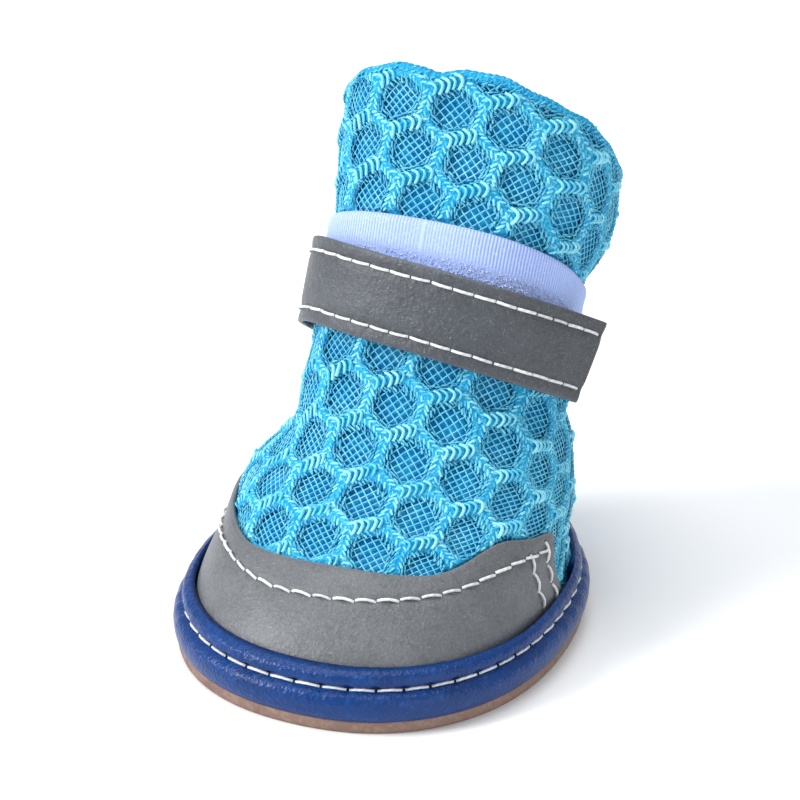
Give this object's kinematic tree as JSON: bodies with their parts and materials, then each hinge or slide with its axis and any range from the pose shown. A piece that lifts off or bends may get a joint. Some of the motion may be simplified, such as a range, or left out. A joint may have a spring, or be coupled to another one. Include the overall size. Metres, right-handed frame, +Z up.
{
  "type": "dog boot",
  "caption": "Small dog boot with a spacer-mesh upper, leather toe cap, sewn leather binding, flat rubber outsole and hook-and-loop ankle strap.",
  "frame": {"origin": "on the floor under the middle of the outsole", "axes": "+Z up out of the floor, toe towards -Y and heel towards +Y, the strap's free end on the +X side"},
  "size_m": [0.0494, 0.0716, 0.0677],
  "materials": {
    "sole_rubber": "matt, fine speckle",
    "insole_fabric": "brushed lining",
    "binding_leather": "satin grain",
    "spacer_mesh": "knitted hexagon mesh",
    "grey_leather": "semi-matt, fine grain",
    "loop_fabric": "brushed loops, ribbed edge",
    "hook_fabric": "small stiff hooks",
    "thread": "white sewing thread"
  },
  "bodies": {
    "root": {"outsole": "sole_rubber", "insole": "insole_fabric", "binding": "binding_leather", "upper": "spacer_mesh", "toe_cap": "grey_leather", "loop_tape": "loop_fabric", "hook_tape": "hook_fabric", "strap": "grey_leather"}
  },
  "joints": []
}
